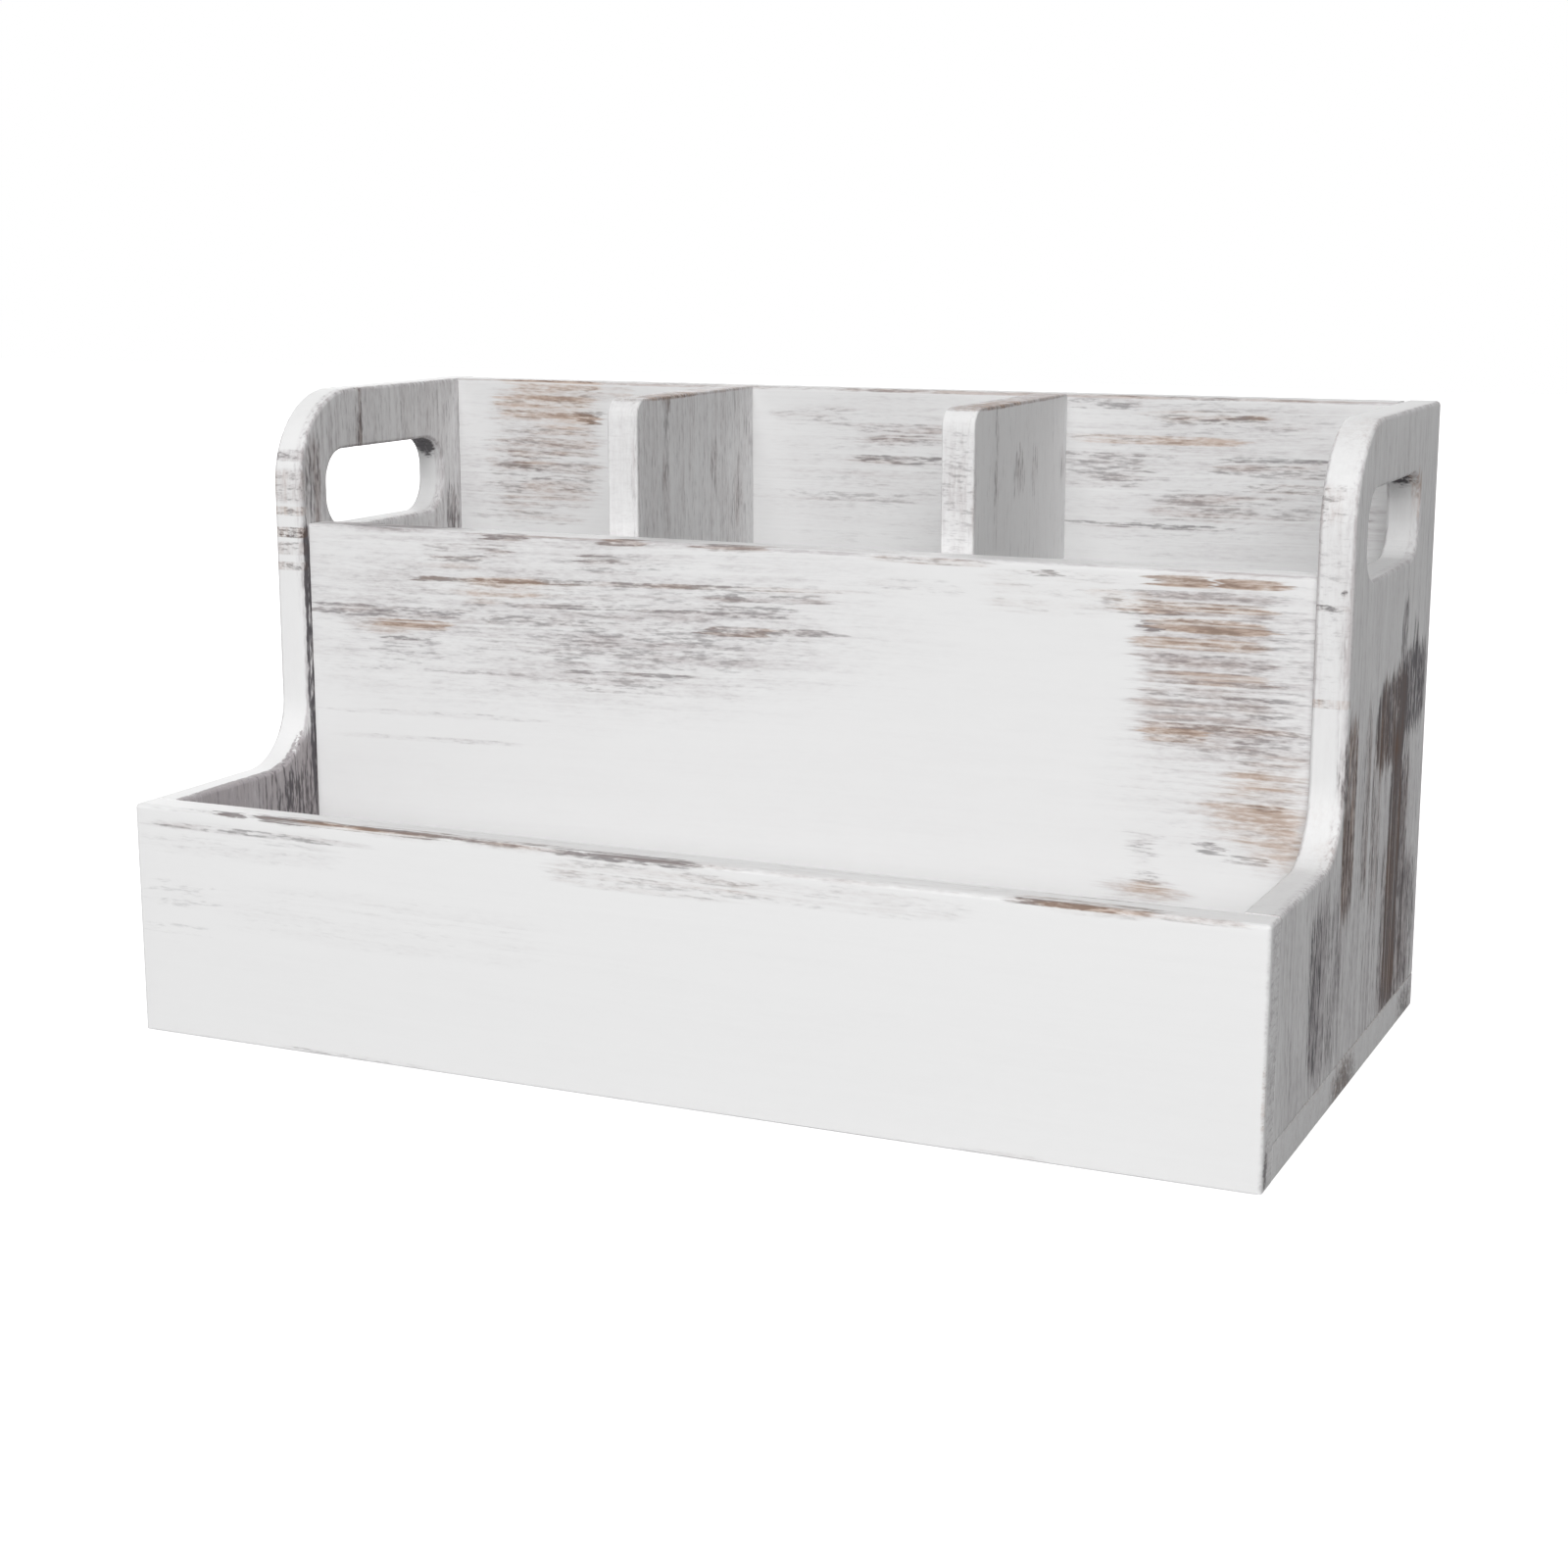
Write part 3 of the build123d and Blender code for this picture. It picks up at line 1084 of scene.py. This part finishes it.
# Faces of the boards, and the places on each that are rubbed or carry painted shade, read from the
# reference face by face.
PANEL_FRONT = Face(1, -11.5)
PANEL_TOP = Face(2, 133.0)
PANEL_CREST = Face(2, 130.0)
PANEL_RUBS = PANEL_FRONT.rubs(
    (-70, 111, 125, 34, 0.62, 0.14, 0.57, True),
    (-30, 105, 60, 20, 0.25, 0.05, 0.28, True),
    (116, 107, 18, 24, 0.48, 0.25, 0.24),
    (126, 105, 32, 30, 0.38, 0.08, 0.32, True),
    (120, 80, 34, 26, 0.4, 0.15, 0.35, True),
    (136, 71, 22, 18, 0.5, 0.8, 0.12, True),
    (-43, 130.3, 7, 1, 0.8, 0.5, 1.05),
    (-11, 129.6, 11, 1.1, 0.8, 0.5, 0.8),
    (-79, 131, 6, 1.1, 0.7, 0.2, 1.0),
    (44, 128.2, 17, 0.9, 0.6, 0.7, 0.7),
    (-92, 127.8, 14, 1.2, 0.2, 0.1, 0.38),
    (-83, 126.6, 4, 1.4, 0.3, 0.1, 0.6),
    (-50, 125.7, 6, 1.1, 0.3, 0.1, 0.7),
    (-46, 124.2, 14, 3, 0.2, 0.05, 0.38),
    (-95, 124.7, 10, 0.8, 0.4, 0.3, 0.8),
    (-96, 122.8, 11, 1.5, 0.35, 0.9, 0.0, True),
    (-41, 119, 69, 0.7, 0.35, 0.4, 0.68),
    (-102, 119, 6, 0.9, 0.5, 0.4, 0.9),
    (-84, 118.4, 16, 1.6, 0.28, 1.1, 0.18, True),
    (-80, 117.2, 28, 3.4, 0.32, 1.6, 0.0, True),
    (-84, 115, 13, 3, 0.26, 1.6, 0.0, True),
    (0, 116.8, 17, 1.5, 0.4, 0.15, 0.5),
    (-55, 112.4, 40, 0.7, 0.25, 0.05, 0.5),
    (-5, 112.8, 14, 1.7, 0.42, 0.1, 0.58),
    (-131, 109.6, 12, 1.9, 0.75, 0.15, 0.7),
    (-106, 109.4, 15, 1.6, 0.7, 0.15, 0.6),
    (-72, 108.3, 20, 1.4, 0.2, 0.1, 0.35),
    (-10, 107.5, 10, 1.4, 0.7, 0.6, 0.78),
    (10, 107.9, 11, 1, 0.35, 0.1, 0.75),
    (-120, 105.4, 15, 3, 1.2, 1.1, 0.3, True),
    (-109, 105.9, 11, 1.5, 0.5, 0.75, 0.42),
    (-111, 102.1, 10, 0.7, 0.4, 0.1, 0.8),
    (-112, 98.3, 11, 4, 0.2, 0.0, 0.32),
    (-36, 101.5, 36, 5.5, 0.15, 0.0, 0.22),
    (-41, 94.9, 21, 0.6, 0.35, 0.1, 0.72),
    (-45, 91.6, 17, 2.2, 0.2, 0.1, 0.38),
    (-105, 93.4, 36, 0.6, 0.15, 0.0, 0.35),
    (-103, 80.9, 38, 0.8, 0.2, 0.05, 0.45),
    (-108, 73.7, 33, 0.8, 0.18, 0.05, 0.42),
    (109, 126.6, 9, 1.5, 1.4, 3.0, 0.68),
    (128, 126.6, 9, 1.3, 1.2, 3.0, 0.64),
    (116, 123.2, 20, 1.1, 0.28, 0.05, 0.38),
    (113, 120.5, 22, 1.2, 0.5, 1.4, 0.55),
    (101, 118.6, 10, 0.7, 0.45, 0.3, 0.9),
    (117, 115.8, 15, 1.8, 0.75, 2.2, 0.52),
    (102, 115.2, 2, 1.4, 0.7, 0.1, 1.6),
    (115, 111.4, 18, 1.5, 0.4, 0.9, 0.22),
    (116, 107.5, 17, 1.5, 0.3, 0.0, 0.35),
    (116, 103, 17, 1.8, 0.66, 0.55, 0.28),
    (119, 98.8, 24, 0.7, 0.3, 0.0, 0.58),
    (120, 95.5, 20, 2, 0.1, 0.1, 0.14),
    (122, 90.9, 22, 0.8, 0.22, 0.3, 0.42),
    (110, 88.5, 8, 1.9, 0.22, 0.8, 0.26),
    (135, 86, 11, 4.5, 0.25, 0.0, 0.35),
    (134, 78, 15, 7.5, 0.5, 0.9, 0.12, True),
    (130, 69, 20, 8, 0.5, 1.2, 0.05, True),
    (134, 72, 5, 0.8, 0.4, 0.2, 1.0),
    (138, 61, 13, 9, 0.6, 1.1, 0.22, True),
    (118.5, 60.8, 3.5, 1.8, 0.5, 0.1, 1.05),
    (128, 58.6, 7, 1.2, 0.45, 0.2, 0.9),
    (101.5, 59.5, 5, 5, 0.6, 0.1, 1.15, True),
    (104, 52, 5, 4.5, 0.55, 0.3, 1.15, True),
    (102, 48, 14, 4, 1.1, 1.6, 0.15, True),
    (82, 122, 23, 6, 0.2, 0.4, 0.34),
    (92, 122, 5, 2, 0.25, 0.6, 0.4),
    (76, 126.8, 3, 0.9, 0.6, 0.1, 1.1),
    (40, 121.5, 13, 2.2, 0.12, 0.1, 0.36),
    (138, 115, 13, 16, 0.3, 0.05, 0.5, True),
    (138, 97, 13, 14, 0.26, 0.05, 0.45, True),
)
# The panel's top is darkened, most at its left end: dirt, and painted shade of the top face.
PANEL_TOP_RUBS_AND_SHADE = (
    *PANEL_TOP.rubs((-118, -6.5, 34, 6.5, 2.4, 0.15, 1.8, True)),
    *PANEL_CREST.rubs((0, -7, 190, 7, 0.45, 0.1, 0.2, True)),
)

BACK_FRONT = Face(1, 70.5)
BACK_RUBS_AND_SHADE = BACK_FRONT.rubs(
    (-113, 146, 20, 21, 0.42, 0.4, 0.3),
    (-112, 158, 22, 8, 0.2, 1.2, 0.0, True),
    (-122, 135, 30, 18, 0.45, 0.12, 0.38, True),
    (92, 148, 60, 30, 0.55, 0.12, 0.48, True),
    (-2, 143, 50, 30, 0.34, 0.15, 0.4, True),
    (96, 124, 60, 10, 0.18, 0.0, 0.1, True),
    (-141, 148, 9, 28, 0.18, 0.0, 0.1, True),
    (-110, 164.5, 17, 1.5, 0.36, 1.3, 0.25),
    (-112, 159.6, 18, 1.8, 0.46, 1.6, 0.28),
    (-112, 155.8, 17, 1.3, 0.42, 1.7, 0.32),
    (-112, 151, 17, 1.3, 0.3, 0.3, 0.25),
    (-112, 147, 18, 1.5, 0.34, 0.2, 0.25),
    (-111, 143.6, 17, 1.1, 0.32, 0.45, 0.35),
    (-112, 140, 19, 1.4, 0.32, 0.2, 0.35),
    (-115, 134.5, 21, 2.2, 0.05, 0.05, 0.22),
    (-119, 124.5, 20, 2.2, 0.3, 0.3, 0.3),
    (-97, 155, 4, 2.2, 0.5, 0.3, 1.05),
    (-91, 162.5, 9, 2.6, 0.35, 0.6, 0.4),
    (3, 155, 17, 1.5, 0.48, 0.15, 0.42),
    (5, 151.5, 14, 1.7, 0.55, 0.15, 0.5),
    (5, 146, 18, 1.3, 0.45, 0.15, 0.75),
    (-24, 158, 13, 3, 0.3, 0.1, 0.4),
    (-19, 135, 30, 1.5, 0.2, 0.1, 0.25),
    (92, 160.5, 18, 1.9, 0.35, 0.6, 0.35),
    (78, 154, 27, 1.3, 0.28, 0.8, 0.22),
    (67, 150, 19, 0.8, 0.35, 0.1, 0.65),
    (112, 146.5, 17, 1.9, 0.42, 0.25, 0.5),
    (116, 142, 13, 1.4, 0.45, 0.5, 0.55),
    (63, 145, 13, 5, 0.32, 0.1, 0.5),
    (76, 130.5, 26, 0.8, 0.4, 0.1, 0.8),
    (101, 136, 26, 4, 0.3, 0.2, 0.4),
    (63, 163.5, 13, 1.6, 0.4, 0.1, 0.65),
    (102, 161, 34, 6, 0.26, 0.12, 0.45, True),
    (119, 149.4, 24, 0.8, 0.35, 0.1, 0.75),
    # The right end of the back board, seen only through the right hand hole, is greyed: painted shade.
    (135, 134, 9, 11, 0.6, 0.1, 0.4, True),
    (0, 166, 140, 1, 0.6, 0.5, 0.6),
)

SIDE_EDGE = Face(1, -14.5)
RIGHT_OUTER = Face(0, 152.5)
RIGHT_RUBS = RIGHT_OUTER.rubs(
    (5, 80, 90, 95, 0.24, 0.0, 0.14),
    (10, 30, 130, 80, 0.42, 0.0, 0.24, True),
    (38, 88, 19, 12, 1.0, 0.5, 1.5),
    (63, 92, 16, 12, 0.8, 0.05, 1.35),
    (47, 45, 8, 40, 1.15, 0.6, 1.9),
    (38, 30, 5, 26, 0.5, 0.2, 0.65),
    (58, 40, 6, 40, 0.6, 0.2, 0.75),
    (-8, 70, 7, 26, 0.85, 0.6, 1.0),
    (-27, 34, 17, 24, 0.35, 0.0, 0.4),
    (-38, 35, 6, 21, 0.4, 0.0, 0.5),
    (11, 70, 4, 26, 0.4, 0.2, 0.5),
    (23, 66, 6, 26, 0.35, 0.2, 0.45),
    (69, 27, 10, 20, 0.55, 0.1, 0.65),
    (49, 108, 4, 9, 0.5, 0.0, 0.75),
    (64, 103, 4, 7, 0.55, 0.0, 0.85),
    (55, 143, 7, 7, 0.4, 0.9, 0.1),
)
RIGHT_NICKS_AND_SHADE = (
    # These two darken the hand hole's top edge and its upper rear corner: painted shadow under the hole's
    # top.
    Rub((147.4, 44, 149.0), (4.4, 21, 3.0), 1.2, 0.0, 4.0, True),
    Rub((147.4, 57, 147.6), (4.4, 7, 3.6), 1.2, 0.0, 3.4, True),
    *SIDE_EDGE.rubs(
        (150.2, 126, 1.2, 1.2, 0.8, 0.2, 2.0, True),
        (146, 148, 4, 6, 0.18, 0.2, 0.28),
        (147, 122.5, 5, 0.9, 0.3, 0.2, 0.45),
    ),
    # A faint tan veil dims the sweep, which faces the lamps: painted shade.
    Rub((148, -24, 70), (8, 16, 14), 0.08, 0.6, 0.0, True),
    Rub((148, -73.4, 61.8), (8, 0.7, 0.8), 0.5, 0.2, 0.1),
    Rub((148, 2, 164), (8, 22, 10), 0.25, 0.4, 0.15, True),
    *SIDE_EDGE.rubs(
        (148, 99.5, 6, 1.2, 0.45, 0.8, 0.4),
        (148, 130, 8, 30, 0.2, 0.1, 0.25),
    ),
)

LEFT_INNER = Face(0, -143.5)
LEFT_RUBS_AND_SHADE = LEFT_INNER.rubs(
    (16, 157, 2, 11, 0.7, 0.3, 0.6),
    (-8, 140, 4, 13, 0.5, 0.2, 0.45),
    # These two darken the inner wall of the tray behind the front board: worn marks, and painted shade of
    # that corner.
    (-35, 44, 50, 26, 2.0, 0.05, 0.42),
    (-14, 48, 34, 26, 2.0, 0.05, 1.1, True),
    (66, 125, 4, 8, 0.5, 0.1, 0.5),
    # A dark strip in the 3 mm recess between the side and the middle panel: painted shade.
    (-12.4, 94, 1.7, 38, 0.9, 0.0, 1.5),
    (30, 140, 60, 40, 0.38, 0.05, 0.28),
)
LEFT_NICKS_AND_HOLE_SHADOW = (
    # A near-black patch in the hand hole's upper rear corner: painted shadow.
    Rub((-148.5, 57, 147.0), (4.4, 8, 6.0), 1.2, 0.0, 5.0, True),
    *SIDE_EDGE.rubs(
        (-148, 127, 8, 1.6, 0.55, 0.9, 0.95),
        (-148, 133, 8, 1.4, 0.45, 0.8, 0.6),
        (-148, 117.5, 7, 1.3, 0.5, 0.4, 0.7),
        (-148, 122.5, 7, 2, 0.45, 0.4, 0.5),
        (-148, 148.5, 7, 1.8, 0.6, 0.1, 0.6),
        (-148, 140, 7, 5, 0.5, 0.3, 0.45),
        (-148, 155, 7, 4, 0.4, 0.1, 0.35),
    ),
)

DIVIDER_EDGE = Face(1, -2.5)
LEFT_DIVIDER_FACE = Face(0, -43.5)
LEFT_DIVIDER_RUBS = LEFT_DIVIDER_FACE.rubs(
    (15, 147, 3, 24, 0.3, 0.1, 0.32, True),
    (15, 161, 2, 6, 0.35, 0.1, 0.6, True),
    (14, 145, 2, 7, 0.35, 0.1, 0.6, True),
    (15, 166, 3, 3, 0.5, 0.3, 0.6),
    (44.5, 146, 3.5, 10, 0.5, 0.1, 0.7, True),
    (60, 132, 5, 16, 0.35, 0.1, 0.35, True),
    (67.5, 150, 3, 7, 0.35, 0.1, 0.45, True),
    (35, 145, 45, 40, 0.32, 0.08, 0.4),
)
LEFT_DIVIDER_NICKS_AND_SHADE = (
    # A thin grey veil dims the front edge to the tone of the shaded back board behind it: painted shade,
    # with faint marks.
    *DIVIDER_EDGE.rubs((-48, 148, 7, 30, 0.24, 0.05, 0.06)),
    Rub((-48, 34, 166.2), (7, 42, 1.2), 0.75, 0.3, 0.4),
    Rub((-45, 20, 166.2), (5, 15, 1.4), 0.5, 0.4, 0.5),
)

RIGHT_DIVIDER_FACE = Face(0, 52.5)
RIGHT_DIVIDER_RUBS = RIGHT_DIVIDER_FACE.rubs(
    (14, 147, 3, 24, 0.3, 0.1, 0.32, True),
    (14, 160, 2, 6, 0.35, 0.1, 0.6, True),
    (14, 146, 2, 7, 0.35, 0.1, 0.6, True),
    (32, 147, 5, 5, 0.4, 0.1, 0.5),
    (44, 146, 3.5, 9, 0.5, 0.1, 0.7, True),
    (67.5, 147.5, 3, 6, 0.45, 0.1, 0.6, True),
    (35, 145, 45, 40, 0.06, 0.08, 0.26),
)
RIGHT_DIVIDER_NICKS = (
    *DIVIDER_EDGE.rubs((48, 146, 9, 24, 0.68, 0.15, 0.8, True)),
    Rub((48, 34, 166.2), (7, 42, 1.2), 1.0, 0.35, 0.45),
    Rub((51, 18, 166.2), (5, 15, 1.4), 0.45, 0.5, 0.45),
)

FRONT_FACE = Face(1, -82.5)
FRONT_TOP = Face(2, 62.0)
FRONT_ARRIS = Face(1, -82.0, 1.2)
FRONT_END = Face(0, 152.5, 0.9)
FRONT_RUBS = (
    *FRONT_FACE.rubs(
        (0, 56.6, 29, 3.8, 0.27, 0.35, 0.5),
        (52, 57, 31, 3.2, 0.2, 0.2, 0.32),
        (-112, 57.2, 36, 0.9, 0.3, 0.1, 0.6),
        (-139, 38.5, 12, 4, 0.04, 0.05, 0.42),
        (-139, 29, 12, 1.6, 0.04, 0.05, 0.42),
        (-78, 37, 50, 8, 0.06, 0.05, 0.12),
        (-120, 54, 32, 5, 0.12, 0.05, 0.26),
        (-85, 0.6, 24, 0.7, 0.25, 0.3, 0.5),
        (92, 0.6, 10, 0.7, 0.2, 0.2, 0.45),
    ),
    *FRONT_ARRIS.rubs(
        (-122, 61.6, 4, 0.9, 0.5, 0.1, 0.9),
        (-106, 61.5, 8, 1, 0.65, 0.2, 0.9),
        (-90, 61.6, 12, 0.9, 0.45, 0.5, 0.5),
        (-72, 61.6, 14, 1, 0.45, 0.2, 0.55),
        (-60, 61.6, 88, 0.9, 0.35, 0.15, 0.42),
        (-7, 61.3, 20, 1.2, 0.7, 0.05, 0.95),
    ),
    *FRONT_TOP.rubs(
        (-103, -80.8, 11, 1.8, 0.6, 0.25, 0.75),
        (-70, -80.8, 16, 1.8, 0.55, 0.3, 0.65),
        (-40, -81, 20, 1.5, 0.45, 0.2, 0.55),
        (-122, -81.4, 4, 1, 0.5, 0.1, 0.9),
        (-3, -81, 15, 1.4, 0.5, 0.05, 0.7),
    ),
    *FRONT_ARRIS.rubs(
        (106, 61.6, 15, 0.9, 0.6, 0.6, 0.85),
        (136, 61.4, 12, 1, 0.4, 0.4, 0.5),
    ),
    *FRONT_TOP.rubs(
        (112, -80.4, 18, 2.4, 0.7, 0.9, 0.62),
        (116, -74.2, 30, 1.1, 0.6, 0.6, 0.75),
        (0, -78, 150, 5, 0.14, 0.2, 0.16),
    ),
)
FRONT_NICKS = FRONT_END.rubs(
    (-80, 5, 2.2, 6, 1.1, 0.1, 2.4, True),
    (-76.8, 30, 4.3, 40, 0.55, 0.0, 0.3),
    (-82.2, 22, 1, 9, 0.4, 0.8, 0.4),
)

BASE_END = Face(0, 152.5)
BASE_RUBS = (
    Rub((-50, -46, 9), (120, 26, 4), 0.7, 0.25, 0.6, True),
    Rub((80, -34, 9), (85, 22, 4), 0.7, 0.5, 0.5, True),
)
BASE_NICKS = BASE_END.rubs(
    (-3, 3, 18, 8, 1.1, 0.7, 1.8, True),
    (72, 3, 14, 8, 0.9, 0.1, 1.5, True),
    (0, 4, 90, 8, 0.25, 0.1, 0.2),
)


def make_boards() -> list[Board]:
    """Lists the boards in the order that a maker would join them.

    Returns:
        The boards, ready to build.
    """
    wash = Whitewash()
    front_wash = Whitewash(paint="F6F6F6", clean_veil=0.02, arris_veil_and_shade=1.3)
    back_wash = Whitewash(paint="E6E6E6", clean_veil=0.06)
    panel_wash = Whitewash(rise=4.0, ridge_share=0.58, dark_share=0.48)
    # The left side's dark_share is high so that the painted shadow in its hand hole comes out nearly black;
    # its other dark marks are set weaker to match.
    left_wash = Whitewash(
        paint="F3F3F3", bare_share=0.8, dark_share=0.92, ridge_share=0.15, clean_veil=0.04
    )
    right_wash = Whitewash(bare_share=0.8, dark_share=0.97, ridge_share=0.55, clean_veil=0.10)
    divider_wash = Whitewash(ridge_share=0.25, clean_veil=0.04, arris_veil_and_shade=0.8)
    return [
        Board("base_board", Grain.FLOOR, wash, 1, BASE_RUBS, BASE_NICKS),
        SideBoard("left_side_board", Grain.UPRIGHT, left_wash, 2, LEFT_RUBS_AND_SHADE, LEFT_NICKS_AND_HOLE_SHADOW),
        SideBoard("right_side_board", Grain.UPRIGHT, right_wash, 3, RIGHT_RUBS, RIGHT_NICKS_AND_SHADE),
        Board("front_board", Grain.CROSSWISE, front_wash, 4, FRONT_RUBS, FRONT_NICKS, arris_wear=0.6),
        Board("back_board", Grain.CROSSWISE, back_wash, 5, BACK_RUBS_AND_SHADE),
        Board("middle_panel", Grain.CROSSWISE, panel_wash, 6, PANEL_RUBS + PANEL_TOP_RUBS_AND_SHADE),
        Divider("left_divider", Grain.UPRIGHT, divider_wash, 7, LEFT_DIVIDER_RUBS, LEFT_DIVIDER_NICKS_AND_SHADE),
        Divider("right_divider", Grain.UPRIGHT, divider_wash, 8, RIGHT_DIVIDER_RUBS, RIGHT_DIVIDER_NICKS),
    ]


def main() -> None:
    """Builds the caddy's looks and the studio, and logs how many faces each board has."""
    logging.basicConfig(level=logging.INFO, format="%(name)s: %(message)s")
    for board in make_boards():
        piece = board.build()
        log.info("%s has %d faces", piece.name, len(piece.data.polygons))
    Brads(BradWire()).dress()
    Studio().build()


if __name__ == "__main__":
    main()
